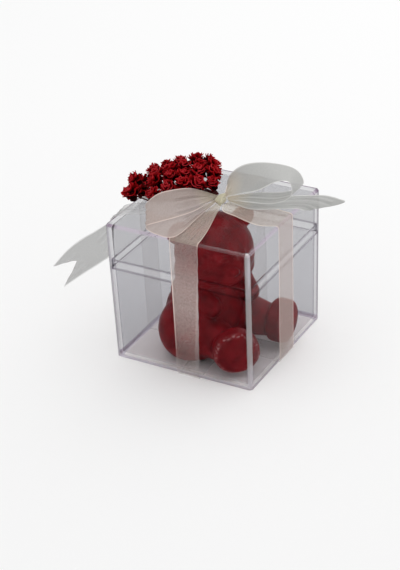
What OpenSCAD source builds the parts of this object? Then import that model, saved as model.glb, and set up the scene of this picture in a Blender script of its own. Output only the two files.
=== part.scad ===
// Clear favor box with a lift-off lid, an organza ribbon, a bunch of dried flowers and a moulded bear.
// Millimetres. +Z is up, +X runs to the right along the front face, and +Y runs into the depth.
// The origin is on the surface that the box stands on, under the middle of the box.

/* [Box] */
// Width and depth of the closed box at its top
box_w = 50; // [49:0.5:52]
// Height of the top of the lid over the surface it stands on
box_top = 49; // [48.5:0.5:50]
// How much narrower each side is at the foot than at the top
draft = 0.5; // [0.2:0.1:0.8]
// Thickness of the plastic walls, floor and lid
wall = 1.3; // [1.2:0.1:1.5]
// Height of the lid's lower edge, where the seam runs round the box
seam_z = 33.3; // [32:0.1:35]
// How far the lid's skirt reaches down over the lip of the base
overlap = 3; // [2:0.5:4]
// Rounding of the upright corners
corner_r = 1; // [0.6:0.1:1.4]
// Rounding of the lid's top edges
edge_r = 0.8; // [0.4:0.1:1]

/* [Ribbon] */
// Width of the organza ribbon
ribbon_w = 10; // [8:0.5:10]
// Modelled thickness of one layer of ribbon
ribbon_t = 0.2; // [0.15:0.05:0.25]
// How far the front stretch is drawn in at its foot
front_taper = 1.9; // [0:0.1:3]
// Depth of the folds where a stretch is gathered into the knot
fold_depth = 0.3; // [0.1:0.05:0.4]

/* [Bear] */
// Turn of the bear's body from the box's +X side
bear_turn = -20; // [-22:1:-18]
// Further turn of the bear's head
head_turn = -15; // [-30:1:0]
// Radius of the bear's round feet
foot_r = 7.3; // [6.8:0.1:7.3]

/* [Flowers] */
// Number of flower heads in each row of the bunch, front row first
row_counts = [5, 6, 6, 5];
// Distance between neighbouring heads in a row
head_pitch = 4.4; // [4.4:0.1:4.7]
// Radius of one flower head over its open petals
head_r = 2.15; // [1.8:0.05:2.2]
// Number of petals on a head
petals = 6; // [5:1:7]

/* [Hidden] */
// Fine gaps that keep the pieces apart, and how far a cutting block runs past what it cuts
ribbon_gap = 0.05;
lap_gap = 0.1;
seam_gap = 0.05;
lip_gap = 0.15;
bear_gap = 0.02;
cut = 1;
lift = 0.5;
skirt_t = wall / 2 - 0.05;
lip_inset = skirt_t + lap_gap;
floor_z = lift + wall;
lip_z = seam_z + overlap;
under_lid_z = box_top - wall;
slab_t = 0.02;
sharp = 0.02;
foot_edge = 0.3;
lip_edge = 0.15;
inner_edge = 0.5;
inner_corner_r = corner_r - 0.3;
lean = atan(draft / (box_top - lift));
on_lid = box_top + ribbon_gap + ribbon_t / 2;
front_shift = 3;
front_spread = 0.2;
cross_room = 0.5;
cross_slope = 1.5;

clear = [0.86, 0.87, 0.91, 0.35];
organza = [0.9, 0.87, 0.8, 0.75];
wax = [0.5, 0.1, 0.13];
petal_red = [0.68, 0.07, 0.1];
stem_red = [0.38, 0.06, 0.07];

// The knot that everything on the lid is gathered into
knot = [2, 2.2, 50.6];
knot_r = [1.4, 1.4, 1.1];

// Each stretch of the bow is given by its two edges, as points from the knot outwards
loop_left_back = [[0.2, 2.6, 51.2], [-5, -3.5, 55.5], [-9, -9.5, 57], [-12.5, -13.5, 56.5],
    [-14.5, -17, 54], [-11.5, -17.5, 51.6], [-5.5, -15.5, 51], [-1.5, -8, 50.9], [0.5, 0.2, 51.1]];
loop_left_front = [[0.2, 1.4, 51.2], [-1.5, -8.5, 51.9], [-4.5, -15, 52.1], [-8, -20.5, 52],
    [-10, -25, 51.2], [-6, -26.3, 50.2], [0.2, -25, 50], [0.8, -11.5, 50.4], [1.4, -0.1, 50.9]];
loop_right_front = [[3.2, 0.7, 51.8], [9, -0.4, 54.8], [15.5, -1.6, 58.8], [22, -2, 63.1], [27.6, -2, 63.2],
    [27.6, -2, 57.8], [20.5, -1.4, 53], [11, 0.4, 51.2], [3.9, 1.8, 51]];
loop_right_back = [[2.9, 3.9, 52], [1.6, 7.4, 56], [6.5, 8, 60.8], [15, 8, 63.3], [24.5, 8, 63],
    [27.4, 8, 58], [21.5, 7.6, 53.4], [12, 6, 51.4], [3.8, 3.2, 51]];
tail_left_back = [[0.2, 2.5, 50.6], [-8, -0.5, 50.1], [-16.5, -3.8, 49.9], [-24, -6.5, 49.75],
    [-28.2, -8.4, 47.6], [-32.5, -10.2, 43], [-38, -11, 38], [-44.5, -11, 32.6], [-50.5, -11, 26.9],
    [-56.5, -11, 19.8]];
tail_left_front = [[0.4, 1.4, 50.5], [-7, -6, 50.1], [-15, -11.8, 49.9], [-23.8, -15.9, 49.75],
    [-26.6, -15.6, 46.4], [-28, -14.3, 39.8], [-31, -12.2, 31.4], [-37, -11, 25.6], [-45, -11, 19.2],
    [-53, -11, 12.5]];
tail_right_back = [[3.8, 3.4, 50.5], [11, 7.8, 50.3], [18, 13, 50], [25, 17, 49.9], [31, 17.8, 50.6],
    [38, 17, 50.4]];
tail_right_front = [[3.9, 2.2, 50.3], [12, 0.5, 49.9], [19, 3.5, 49.8], [25.8, 7.5, 49.5],
    [28.8, 9.5, 46.8], [30.4, 12, 43.8]];
// How deep the left tail is notched and how far the right tail is cut aslant, as a share of its length
left_notch = 0.13;
right_slant = 0.34;

// The bear sits askew, and each foot has its own place and turn
bear_at = [-3.2, -1.6];
near_foot = [25.1, -9.8, -32];
far_foot = [22.1, 15.5, 20];
foot_depth = 6;
foot_soft = 1.4;
ankle_depth = 2.5;
ankle_in = 2.4;
head_middle = [4.1, 0.5, 32.7];

// The bunch lies in a long low dome behind the left loop
bunch_mid = [-14.4, 2.6];
bunch_turn = 30;
bunch_half = [14, 11.5];
bunch_crest = 1;
bunch_base = 52;
bunch_rise = 5.2;
bunch_tilt = 0.22;
bunch_root = [3, -1, -8];
row_offsets = [-7.2, -2.8, 1.7, 6.1];
row_shifts = [1.6, 0, 0.4, 1.4];
stray_heads = [[-22.2, -12.3, 54.6], [-22.6, -8.6, 57.4]];
stem_start = [-0.8, 4.6, 50.9];
stem_z = 50.75;
stem_r = 0.25;
stalk = 1.5;
tilt_at_rim = 0.9;
flower_count = row_counts[0] + row_counts[1] + row_counts[2] + row_counts[3] + len(stray_heads);

function flower_name(i) = str("flower_", i < 10 ? "0" : "", i);

// Half width of the box at height z
function half(z) = box_w / 2 - draft * (box_top - z) / (box_top - lift);

function unit(v) = v / max(norm(v), 0.0001);

// Point on the smooth curve through the points p, with u from 0 to 1
function on_curve(p, u) =
    let (n = len(p) - 1, s = min(max(u, 0), 0.99999) * n, i = floor(s), f = s - i)
    let (a = p[max(i - 1, 0)], b = p[i], c = p[i + 1], d = p[min(i + 2, n)])
    0.5 * (2 * b + (c - a) * f + (2 * a - 5 * b + 4 * c - d) * f * f + (3 * b - 3 * c + d - a) * f * f * f);

// Direction straight out of a strip's face at u
function face_normal(a, b, u) =
    unit(cross(on_curve(a, u + 0.01) - on_curve(a, u - 0.01), on_curve(b, u) - on_curve(a, u)));

// Points of a strip between its edges a and b, with folds that fade away from its gathered ends
function strip_grid(a, b, steps, across, folds, loop, notch, slant) =
    [for (i = [0:steps]) [for (j = [0:across])
        let (s = j / across,
             u = i / steps * (1 - notch * (1 - abs(2 * s - 1)) - slant * pow(1 - s, 1.3)),
             gathered = loop ? pow(abs(2 * u - 1), 3) : pow(1 - u, 2),
             at_a = on_curve(a, u),
             at_b = on_curve(b, u))
        at_a + (at_b - at_a) * s
            + face_normal(a, b, u) * fold_depth * gathered * sin(360 * folds * s)]];

// Closed thin solid round a grid of points
module sheet(grid, t) {
    n = len(grid);
    m = len(grid[0]);
    normals = [for (i = [0:n - 1]) [for (j = [0:m - 1])
        unit(cross(grid[min(i + 1, n - 1)][j] - grid[max(i - 1, 0)][j],
                   grid[i][min(j + 1, m - 1)] - grid[i][max(j - 1, 0)]))]];
    upper = [for (i = [0:n - 1]) for (j = [0:m - 1]) grid[i][j] + normals[i][j] * t / 2];
    lower = [for (i = [0:n - 1]) for (j = [0:m - 1]) grid[i][j] - normals[i][j] * t / 2];
    k = n * m;
    faces = concat(
        [for (i = [0:n - 2]) for (j = [0:m - 2]) each
            [[i * m + j, i * m + j + 1, (i + 1) * m + j + 1],
             [i * m + j, (i + 1) * m + j + 1, (i + 1) * m + j]]],
        [for (i = [0:n - 2]) for (j = [0:m - 2]) each
            [[k + i * m + j, k + (i + 1) * m + j + 1, k + i * m + j + 1],
             [k + i * m + j, k + (i + 1) * m + j, k + (i + 1) * m + j + 1]]],
        [for (i = [0:n - 2]) each
            [[i * m, (i + 1) * m, k + (i + 1) * m], [i * m, k + (i + 1) * m, k + i * m]]],
        [for (i = [0:n - 2]) each
            [[i * m + m - 1, k + (i + 1) * m + m - 1, (i + 1) * m + m - 1],
             [i * m + m - 1, k + i * m + m - 1, k + (i + 1) * m + m - 1]]],
        [for (j = [0:m - 2]) each
            [[j, k + j + 1, j + 1], [j, k + j, k + j + 1]]],
        [for (j = [0:m - 2]) each
            [[(n - 1) * m + j, (n - 1) * m + j + 1, k + (n - 1) * m + j + 1],
             [(n - 1) * m + j, k + (n - 1) * m + j + 1, k + (n - 1) * m + j]]]);
    polyhedron(concat(upper, lower), faces, convexity = 8);
}

module strip(a, b, steps, across = 4, folds = 1.5, loop = false, notch = 0, slant = 0) {
    color(organza) sheet(strip_grid(a, b, steps, across, folds, loop, notch, slant), ribbon_t);
}

// Thin rounded square slice of the box at height z, drawn in by inset
module slice(z, inset, r) {
    translate([0, 0, z])
        linear_extrude(slab_t)
            offset(r, $fn = 24) square(2 * (half(z) - inset - r), center = true);
}

// Tapered block between two heights, with softened edges at its foot and its top
module tapered_block(z0, z1, inset, r, foot_soft, top_soft) {
    hull() {
        slice(z0, inset + foot_soft, r);
        slice(z0 + foot_soft, inset, r);
        slice(z1 - top_soft - slab_t, inset, r);
        slice(z1 - 0.3 * top_soft - slab_t, inset + 0.3 * top_soft, r);
        slice(z1 - slab_t, inset + top_soft, r);
    }
}

// Cup with a stepped lip that the lid's skirt goes round
module box_base() {
    color(clear) difference() {
        union() {
            tapered_block(lift, seam_z, 0, corner_r, foot_edge, sharp);
            tapered_block(seam_z - cut, lip_z, lip_inset, inner_corner_r, sharp, lip_edge);
        }
        tapered_block(floor_z, lip_z + cut, wall, inner_corner_r, inner_edge, sharp);
    }
}

// Shallow cap whose thin skirt slides over the lip of the base
module lid() {
    color(clear) difference() {
        tapered_block(seam_z + seam_gap, box_top, 0, corner_r, sharp, edge_r);
        tapered_block(seam_z - cut, lip_z + lip_gap, skirt_t, inner_corner_r + lap_gap, sharp, sharp);
        tapered_block(seam_z, under_lid_z, wall, inner_corner_r, sharp, inner_edge);
    }
}

// Rounded body of revolution stretched to three radii
module blob(at, radii, facets = 24) {
    translate(at) scale(radii) sphere(1, $fn = facets);
}

// Thick rounded limb between two balls
module limb(from, from_r, to, to_r) {
    hull() {
        translate(from) sphere(from_r, $fn = 20);
        translate(to) sphere(to_r, $fn = 18);
    }
}

// Cupped round ear
module bear_ear(side) {
    difference() {
        hull() {
            blob([-1, side * 10.6, 6.8], [2.6, 4.2, 4.2], 18);
            blob([-0.6, side * 8, 4.4], [2.8, 4.2, 4.2], 14);
        }
        blob([2.1, side * 11, 7], [1.8, 2.6, 2.6], 14);
    }
}

// Disc of a foot with softened rims, centred on its own axis
module foot_disc() {
    hull() {
        cylinder(h = foot_depth - 2 * foot_soft, r = foot_r, center = true, $fn = 28);
        cylinder(h = foot_depth, r = foot_r - foot_soft, center = true, $fn = 28);
        cylinder(h = foot_depth - 0.6 * foot_soft, r = foot_r - 0.3 * foot_soft, center = true, $fn = 28);
    }
}

// Leg from the hip to a round foot whose flat sole is at the place given
module bear_leg(hip, hip_r, foot) {
    toward = [cos(foot[2]), sin(foot[2])];
    middle = [foot[0] - toward[0] * foot_depth / 2, foot[1] - toward[1] * foot_depth / 2, foot_r];
    translate(middle) rotate([0, 90, foot[2]]) foot_disc();
    limb(hip, hip_r, middle - [toward[0], toward[1], 0.4] * ankle_depth, foot_r - ankle_in);
}

// Head about its own middle, looking along +X
module bear_head() {
    blob([0, 0, 0], [12.4, 12.8, 12.2], 28);
    hull() {
        blob([9.4, 0, -3.4], [4.4, 5.6, 4.4], 18);
        blob([6, 0, -3], [5, 7, 6], 18);
    }
    blob([13.6, 0, -1.6], [1.4, 2.1, 1.4], 12);
    for (side = [-1, 1]) {
        bear_ear(side);
        blob([11.1, side * 4.4, 3], [1.1, 1.2, 1.3], 12);
    }
}

// Sitting bear moulded in one piece of wax
module favor_bear() {
    place = [bear_at[0], bear_at[1], floor_z + bear_gap];
    color(wax) translate(place) rotate([0, 0, bear_turn]) difference() {
        union() {
            blob([0, -0.5, 10.3], [12.6, 13.6, 11.8], 26);
            blob([1.2, 0, 18.5], [10.2, 11.2, 9.5], 20);
            blob([3, -8.9, 7.7], [11.2, 11.2, 11.2], 26);
            limb([1.5, -10.3, 22], 4.4, [11.2, -7.4, 17.9], 3.4);
            limb([1.5, 10.3, 22], 4.4, [11.6, 7.8, 17.9], 3.4);
            bear_leg([7, -8.6, 7.2], 7.4, near_foot);
            bear_leg([4, 8.2, 7.2], 7.6, far_foot);
            translate(head_middle) rotate([0, 0, head_turn]) bear_head();
        }
        translate([0, 0, -5]) cube([80, 80, 10.01], center = true);
    }
}

// Upright stretch of ribbon on one wall, counted anticlockwise from the front
module wall_ribbon(quarter, left, right, left_foot, right_foot) {
    top = on_lid + ribbon_t / 2;
    color(organza) rotate([0, 0, 90 * quarter])
        translate([0, -half(0) - ribbon_gap, 0])
            rotate([90 + lean, 0, 0])
                linear_extrude(ribbon_t)
                    polygon([[left_foot, 0], [right_foot, 0], [right, top], [left, top]]);
}

module ribbon_front() {
    wall_ribbon(0, front_shift - ribbon_w / 2, front_shift + ribbon_w / 2,
        front_shift - ribbon_w / 2 - front_spread, front_shift + ribbon_w / 2 - front_taper);
}

module ribbon_right() {
    wall_ribbon(1, -ribbon_w / 2, ribbon_w / 2, -ribbon_w / 2, ribbon_w / 2);
}

module ribbon_back() {
    wall_ribbon(2, -ribbon_w / 2, ribbon_w / 2, -ribbon_w / 2, ribbon_w / 2);
}

module ribbon_left() {
    wall_ribbon(3, -ribbon_w / 2, ribbon_w / 2, -ribbon_w / 2, ribbon_w / 2);
}

// The two stretches that cross under the box
module ribbon_under_lower() {
    color(organza) translate([-half(0), -ribbon_w / 2, 0]) cube([2 * half(0), ribbon_w, ribbon_t]);
}

module ribbon_under_upper() {
    reach = half(0);
    in = ribbon_w / 2 + cross_room;
    out = in + cross_slope;
    over = ribbon_t + ribbon_gap;
    color(organza) translate([ribbon_w / 2, 0, 0]) rotate([90, 0, -90])
        linear_extrude(ribbon_w)
            polygon([[-reach, 0], [-out, 0], [-in, over], [in, over], [out, 0], [reach, 0],
                [reach, ribbon_t], [out + ribbon_t, ribbon_t], [in + ribbon_t, over + ribbon_t],
                [-in - ribbon_t, over + ribbon_t], [-out - ribbon_t, ribbon_t], [-reach, ribbon_t]]);
}

// The four stretches that lie on the lid and run into the knot
module ribbon_top_front() {
    edge = box_w / 2;
    right = front_shift + ribbon_w / 2;
    left = front_shift - ribbon_w / 2;
    strip([[2.9, 0.4, 50.2], [4.8, -8, 49.7], [6.6, -17, 49.35], [right, -edge, on_lid]],
        [[1.2, 0.4, 50.2], [0.2, -8, 49.7], [-1.2, -17, 49.35], [left, -edge, on_lid]], 12);
}

module ribbon_top_right() {
    edge = box_w / 2;
    strip([[4.1, 3.2, 49.7], [9.5, 4.8, 49.4], [17, 5.4, 49.3], [edge, ribbon_w / 2, on_lid]],
        [[4, 1.2, 49.8], [9.5, -3.4, 49.4], [18, -6.8, 49.3], [edge, -ribbon_w / 2, on_lid]], 12);
}

module ribbon_top_back() {
    edge = box_w / 2;
    strip([[0.9, 4.4, 50], [-0.8, 9, 49.6], [-3.8, 17, 49.3], [-ribbon_w / 2, edge, on_lid]],
        [[3, 4.4, 50], [3.8, 9, 49.6], [4.8, 17, 49.3], [ribbon_w / 2, edge, on_lid]], 12);
}

module ribbon_top_left() {
    edge = box_w / 2;
    strip([[0, 1.4, 49.8], [-7, -1.2, 49.45], [-16, -4.4, 49.25], [-edge, -ribbon_w / 2, on_lid]],
        [[0, 3.2, 49.8], [-7, 4, 49.45], [-16, 4.9, 49.25], [-edge, ribbon_w / 2, on_lid]], 12);
}

module bow_knot() {
    color(organza) blob(knot, knot_r, 16);
}

module bow_loop_left() {
    strip(loop_left_back, loop_left_front, 26, 4, 1, true);
}

module bow_loop_right() {
    strip(loop_right_front, loop_right_back, 26, 4, 1, true);
}

module bow_tail_left() {
    strip(tail_left_back, tail_left_front, 20, 6, 1, false, left_notch);
}

module bow_tail_right() {
    strip(tail_right_front, tail_right_back, 16, 6, 1, false, 0, right_slant);
}

// Row and place in the row of head i, counted from 1
function row_of(i, r = 0) =
    i <= row_counts[r] || r == len(row_counts) - 1 ? r : row_of(i - row_counts[r], r + 1);
function place_in_row(i, r = 0) =
    i <= row_counts[r] || r == len(row_counts) - 1 ? i - 1 : place_in_row(i - row_counts[r], r + 1);

// Small uneven shift that stays the same for one head
function uneven(i, k) = 0.25 * sin(137 * i + 71 * k);

function in_bunch(i) =
    let (r = row_of(i),
         u = (place_in_row(i) - (row_counts[r] - 1) / 2) * head_pitch + row_shifts[r] + uneven(i, 1),
         v = row_offsets[r] + uneven(i, 2),
         up = 1 - pow(u / bunch_half[0], 2) - pow((v - bunch_crest) / bunch_half[1], 2))
    [bunch_mid[0] + u * cos(bunch_turn) - v * sin(bunch_turn),
     bunch_mid[1] + u * sin(bunch_turn) + v * cos(bunch_turn),
     bunch_base + bunch_rise * sqrt(max(up, 0.04)) + bunch_tilt * u];

function head_at(i) = i > flower_count - len(stray_heads) ? stray_heads[flower_count - i] : in_bunch(i);

// Direction that head i looks in, away from the root of the bunch
function head_dir(i) = unit(head_at(i) - [bunch_mid[0], bunch_mid[1], bunch_base] - bunch_root);

// Places a shape that stands on +Z at a point, looking along a direction
module looking(at, dir) {
    translate(at) rotate([0, acos(dir[2]), atan2(dir[1], dir[0])]) children();
}

// How far the star of petals reaches at an angle, 1 at a tip and 0.5 in a notch
function star(angle) = let (c = abs(cos(petals * angle / 2))) 0.5 + 0.5 * pow(c, 0.8);

// Ring of points at height z: round where star_share is 0, petalled where it is 1
function ring(r, z, star_share, rise) =
    [for (k = [0:4 * petals - 1])
        let (angle = k * 90 / petals, s = 1 - star_share * (1 - star(angle)))
        [r * s * cos(angle), r * s * sin(angle), z + rise * (s - 0.5)]];

// One dried star flower: a pointed cup of stiff petals round a small disc
module flower(i) {
    n = 4 * petals;
    rings = [ring(0.35, -stalk, 0, 0), ring(1.05, -0.3, 0, 0), ring(head_r, 0.1, 1, tilt_at_rim),
        ring(head_r - 0.15, 0.4, 1, tilt_at_rim), ring(0.8, 0.1, 0, 0), ring(0.55, 0.45, 0, 0)];
    points = [for (row = rings) each row];
    sides = [for (q = [0:len(rings) - 2]) for (k = [0:n - 1]) each
        let (a = q * n + k, b = q * n + (k + 1) % n)
        [[a, b + n, b], [a, a + n, b + n]]];
    ends = [[for (k = [0:n - 1]) k], [for (k = [0:n - 1]) len(points) - 1 - k]];
    color(petal_red) looking(head_at(i), head_dir(i)) rotate([0, 0, 20 * i])
        polyhedron(points, concat(sides, ends), convexity = 6);
}

// Thin stalk between two points
module stem(a, b) {
    hull() {
        translate(a) sphere(stem_r, $fn = 5);
        translate(b) sphere(stem_r, $fn = 5);
    }
}

// The stalks run low over the lid from the knot and rise under their own heads
module flower_stems() {
    color(stem_red) for (i = [1:flower_count]) {
        foot = head_at(i) - head_dir(i) * (stalk + stem_r + 0.05);
        low = [foot[0] * 0.8, foot[1] * 0.8 + 0.8, stem_z];
        stem(stem_start, low);
        stem(low, foot);
    }
}

box_base();
lid();
favor_bear();
ribbon_front();
ribbon_right();
ribbon_back();
ribbon_left();
ribbon_under_lower();
ribbon_under_upper();
ribbon_top_front();
ribbon_top_right();
ribbon_top_back();
ribbon_top_left();
bow_knot();
bow_loop_left();
bow_loop_right();
bow_tail_left();
bow_tail_right();
flower_stems();
for (i = [1:flower_count]) flower(i);
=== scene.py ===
import math

import bmesh
import bpy
from mathutils import Matrix, Vector


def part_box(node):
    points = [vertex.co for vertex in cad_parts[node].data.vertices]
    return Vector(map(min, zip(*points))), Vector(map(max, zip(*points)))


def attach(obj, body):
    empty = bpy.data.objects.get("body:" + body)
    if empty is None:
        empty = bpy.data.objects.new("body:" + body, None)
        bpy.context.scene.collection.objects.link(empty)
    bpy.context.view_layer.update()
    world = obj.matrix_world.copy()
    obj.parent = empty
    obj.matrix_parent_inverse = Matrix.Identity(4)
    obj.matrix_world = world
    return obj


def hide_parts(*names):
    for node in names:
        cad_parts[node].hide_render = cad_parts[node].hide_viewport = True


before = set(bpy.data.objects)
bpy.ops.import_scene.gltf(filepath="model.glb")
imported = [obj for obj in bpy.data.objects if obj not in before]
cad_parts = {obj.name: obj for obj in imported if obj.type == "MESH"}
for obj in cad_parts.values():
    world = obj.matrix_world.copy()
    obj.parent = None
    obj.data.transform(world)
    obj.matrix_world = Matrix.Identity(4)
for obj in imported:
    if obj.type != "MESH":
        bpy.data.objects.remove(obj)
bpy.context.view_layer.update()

# Shapes are written in millimetres, and made metres where a mesh gets its place
MM = 0.001
TURN = 2 * math.pi


# Camera of the photograph: its place, and its heading, tilt and roll in radians
CAMERA_AT = Vector((213.9014, -377.4570, 266.8683)) * MM
CAMERA_HEADING = -0.5284821
CAMERA_TILT = 0.5164398
CAMERA_ROLL = -0.0492618
CAMERA_LENS = 97.414
SENSOR = 36.0


def make_camera():
    """Camera at the photograph's angle; its lens is for the long side of a 400 by 570 picture."""
    heading = Vector((math.sin(CAMERA_HEADING), math.cos(CAMERA_HEADING), 0))
    forward = heading * math.cos(CAMERA_TILT) + Vector((0, 0, -math.sin(CAMERA_TILT)))
    level = Vector((math.cos(CAMERA_HEADING), -math.sin(CAMERA_HEADING), 0))
    upward = level.cross(forward)
    right = level * math.cos(CAMERA_ROLL) + upward * math.sin(CAMERA_ROLL)
    up = upward * math.cos(CAMERA_ROLL) - level * math.sin(CAMERA_ROLL)
    data = bpy.data.cameras.new("camera")
    data.lens = CAMERA_LENS
    data.sensor_width = SENSOR
    data.clip_start = 0.01
    camera = bpy.data.objects.new("camera", data)
    turned = Matrix((right, up, -forward)).transposed().to_4x4()
    camera.matrix_world = Matrix.Translation(CAMERA_AT) @ turned
    bpy.context.scene.collection.objects.link(camera)
    bpy.context.scene.camera = camera


# Node tree helpers

def add_node(tree, kind, settings=None, **inputs):
    """New node with its settings and inputs; an input that is a socket gets linked."""
    node = tree.nodes.new(kind)
    for name, value in (settings or {}).items():
        setattr(node, name, value)
    for name, value in inputs.items():
        key = int(name[1:]) if name[0] == "_" and name[1:].isdigit() else name.replace("_", " ")
        socket = node.inputs[key]
        if isinstance(value, bpy.types.NodeSocket):
            tree.links.new(value, socket)
        else:
            socket.default_value = value
    return node


def math_node(tree, operation, a, b=0.5, clamp=False):
    """Result of a calculation with one or two values."""
    settings = {"operation": operation, "use_clamp": clamp}
    return add_node(tree, "ShaderNodeMath", settings, _0=a, _1=b).outputs[0]


def total(tree, a, b, clamp=False):
    """Sum of two values."""
    return math_node(tree, "ADD", a, b, clamp)


def difference(tree, a, b):
    """First value less the second."""
    return math_node(tree, "SUBTRACT", a, b)


def product(tree, a, b, clamp=False):
    """Two values multiplied."""
    return math_node(tree, "MULTIPLY", a, b, clamp)


def larger(tree, a, b):
    """The larger of two values."""
    return math_node(tree, "MAXIMUM", a, b)


def smaller(tree, a, b):
    """The smaller of two values."""
    return math_node(tree, "MINIMUM", a, b)


def remap(tree, value, low, high, to_low=0.0, to_high=1.0):
    """Value carried from one range to another and held at its ends."""
    node = add_node(tree, "ShaderNodeMapRange", {"clamp": True}, Value=value)
    for index, number in ((1, low), (2, high), (3, to_low), (4, to_high)):
        node.inputs[index].default_value = number
    return node.outputs[0]


def blend_colors(tree, share, a, b):
    """Colour a where the share is 0, and b where it is 1."""
    mix = add_node(tree, "ShaderNodeMix", {"data_type": "RGBA"}, Factor=share)
    for index, value in ((6, a), (7, b)):
        if isinstance(value, bpy.types.NodeSocket):
            tree.links.new(value, mix.inputs[index])
        else:
            mix.inputs[index].default_value = value
    return mix.outputs[2]


def noise(tree, where, scale, detail, **more):
    """Soft random pattern round 0.5 at a place."""
    return add_node(tree, "ShaderNodeTexNoise", Vector=where, Scale=scale, Detail=detail, **more).outputs[0]


def vertex_value(tree, name):
    """Value that the mesh's vertices carry under a name."""
    return add_node(tree, "ShaderNodeAttribute", {"attribute_name": name}).outputs["Fac"]


def cloth_place(tree):
    """Place on the ribbon's UV map in millimetres: both ways together, across, and along."""
    flat = tree.nodes.new("ShaderNodeUVMap")
    flat.uv_map = "cloth"
    parts = add_node(tree, "ShaderNodeSeparateXYZ", Vector=flat.outputs[0]).outputs
    return flat.outputs[0], parts[0], parts[1]


def object_coords(tree):
    """Place in the piece's own frame, in metres."""
    return tree.nodes.new("ShaderNodeTexCoord").outputs["Object"]


def add_relief(tree, shader, height, strength, depth):
    """Bump on a shader; depth is in metres."""
    bump = add_node(tree, "ShaderNodeBump", Strength=strength, Distance=depth, Height=height)
    tree.links.new(bump.outputs[0], shader.inputs["Normal"])


def light_stopped(tree, passes):
    """1 for what is seen, and less for shadow and diffuse rays, of which a share passes."""
    rays = tree.nodes.new("ShaderNodeLightPath").outputs
    passing = larger(tree, rays["Is Shadow Ray"], rays["Is Diffuse Ray"])
    return difference(tree, 1.0, product(tree, passing, passes))


def new_group(name, inputs, outputs):
    """Empty shader node group; each input has its default value, or None where it is a vector."""
    group = bpy.data.node_groups.new(name, "ShaderNodeTree")
    for label, default in inputs.items():
        kind = "NodeSocketVector" if default is None else "NodeSocketFloat"
        socket = group.interface.new_socket(label, in_out="INPUT", socket_type=kind)
        if default is not None:
            socket.default_value = default
    for label in outputs:
        group.interface.new_socket(label, in_out="OUTPUT", socket_type="NodeSocketFloat")
    return group, group.nodes.new("NodeGroupInput"), group.nodes.new("NodeGroupOutput")


def place_group(tree, group, **inputs):
    """Outputs of a group placed in a tree."""
    return add_node(tree, "ShaderNodeGroup", {"node_tree": group}, **inputs).outputs


def new_material(name):
    """Material with a plain shader: the material, its node tree and the shader."""
    material = bpy.data.materials.new(name)
    material.use_nodes = True
    tree = material.node_tree
    tree.nodes.clear()
    shader = tree.nodes.new("ShaderNodeBsdfPrincipled")
    out = tree.nodes.new("ShaderNodeOutputMaterial")
    tree.links.new(shader.outputs[0], out.inputs[0])
    return material, tree, shader


def rgba(red, green, blue):
    """Opaque colour."""
    return (red, green, blue, 1.0)


def scaled_color(color, factor):
    """Colour made brighter or darker, up to white."""
    return rgba(*[min(1.0, part * factor) for part in color])


# Shared effects

def make_mottle_group():
    """Two sizes of soft uneven patches, from 0 to 1."""
    group, start, end = new_group("mottle", {"Vector": None, "Size": 300.0, "Contrast": 1.0}, ["Mask"])
    where, size, contrast = (start.outputs[label] for label in ("Vector", "Size", "Contrast"))
    broad = noise(group, where, size, 3.0)
    fine = noise(group, where, product(group, size, 3.7), 2.0)
    both = total(group, product(group, broad, 0.65), product(group, fine, 0.35))
    centred = product(group, difference(group, both, 0.5), contrast)
    group.links.new(total(group, centred, 0.5, clamp=True), end.inputs["Mask"])
    return group


def make_dust_group():
    """Pale speckled patches, as on wax and plastic that have been handled."""
    group, start, end = new_group("dust", {"Vector": None, "Spread": 0.5}, ["Mask"])
    where = start.outputs["Vector"]
    patches = noise(group, where, 170.0, 4.0, Roughness=0.7)
    specks = noise(group, where, 1000.0, 3.0)
    level = difference(group, 0.82, product(group, start.outputs["Spread"], 0.36))
    patchy = product(group, difference(group, patches, level), 7.0, clamp=True)
    speckled = remap(group, specks, 0.4, 0.62, 0.25, 1.0)
    group.links.new(product(group, patchy, speckled), end.inputs["Mask"])
    return group


RIBBON_W = 10.0
THREAD_PITCH = 0.36  # mm, of the gauze's threads in both directions
SELVEDGE = 0.45  # mm, of the denser woven edge


def make_gauze_group():
    """Sheer plain weave on the ribbon's UV map: how much cloth covers, its relief and its edge."""
    group, start, end = new_group("gauze", {"Width": RIBBON_W}, ["Cover", "Relief", "Edge"])
    flat, across, along = cloth_place(group)
    threads = []
    for way in (across, along):
        wave = math_node(group, "SINE", product(group, way, TURN / THREAD_PITCH))
        threads.append(product(group, total(group, wave, 1.0), 0.5))
    weave = larger(group, *threads)
    slubs = noise(group, flat, 1.4, 5.0, Roughness=0.75)
    uneven = remap(group, slubs, 0.36, 0.64, 0.55, 1.2)
    nearest = smaller(group, across, difference(group, start.outputs["Width"], across))
    edge = remap(group, nearest, SELVEDGE * 0.6, SELVEDGE, 1.0, 0.0)
    cover = product(group, weave, uneven, clamp=True)
    group.links.new(larger(group, cover, edge), end.inputs["Cover"])
    group.links.new(weave, end.inputs["Relief"])
    group.links.new(edge, end.inputs["Edge"])
    return group


MOTTLE = make_mottle_group()
DUST = make_dust_group()
GAUZE = make_gauze_group()


# Clear plastic

# The box's outline, and the bands where its plastic is thick, rounded or ends, in which shade and light are
# painted into its tint, in millimetres
BOX_HALF_TOP = 25.0
BOX_TOP = 49.0
LIFT = 0.5  # of the base's foot over the table
DRAFT = 0.5  # how much narrower each side is at the foot
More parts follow.
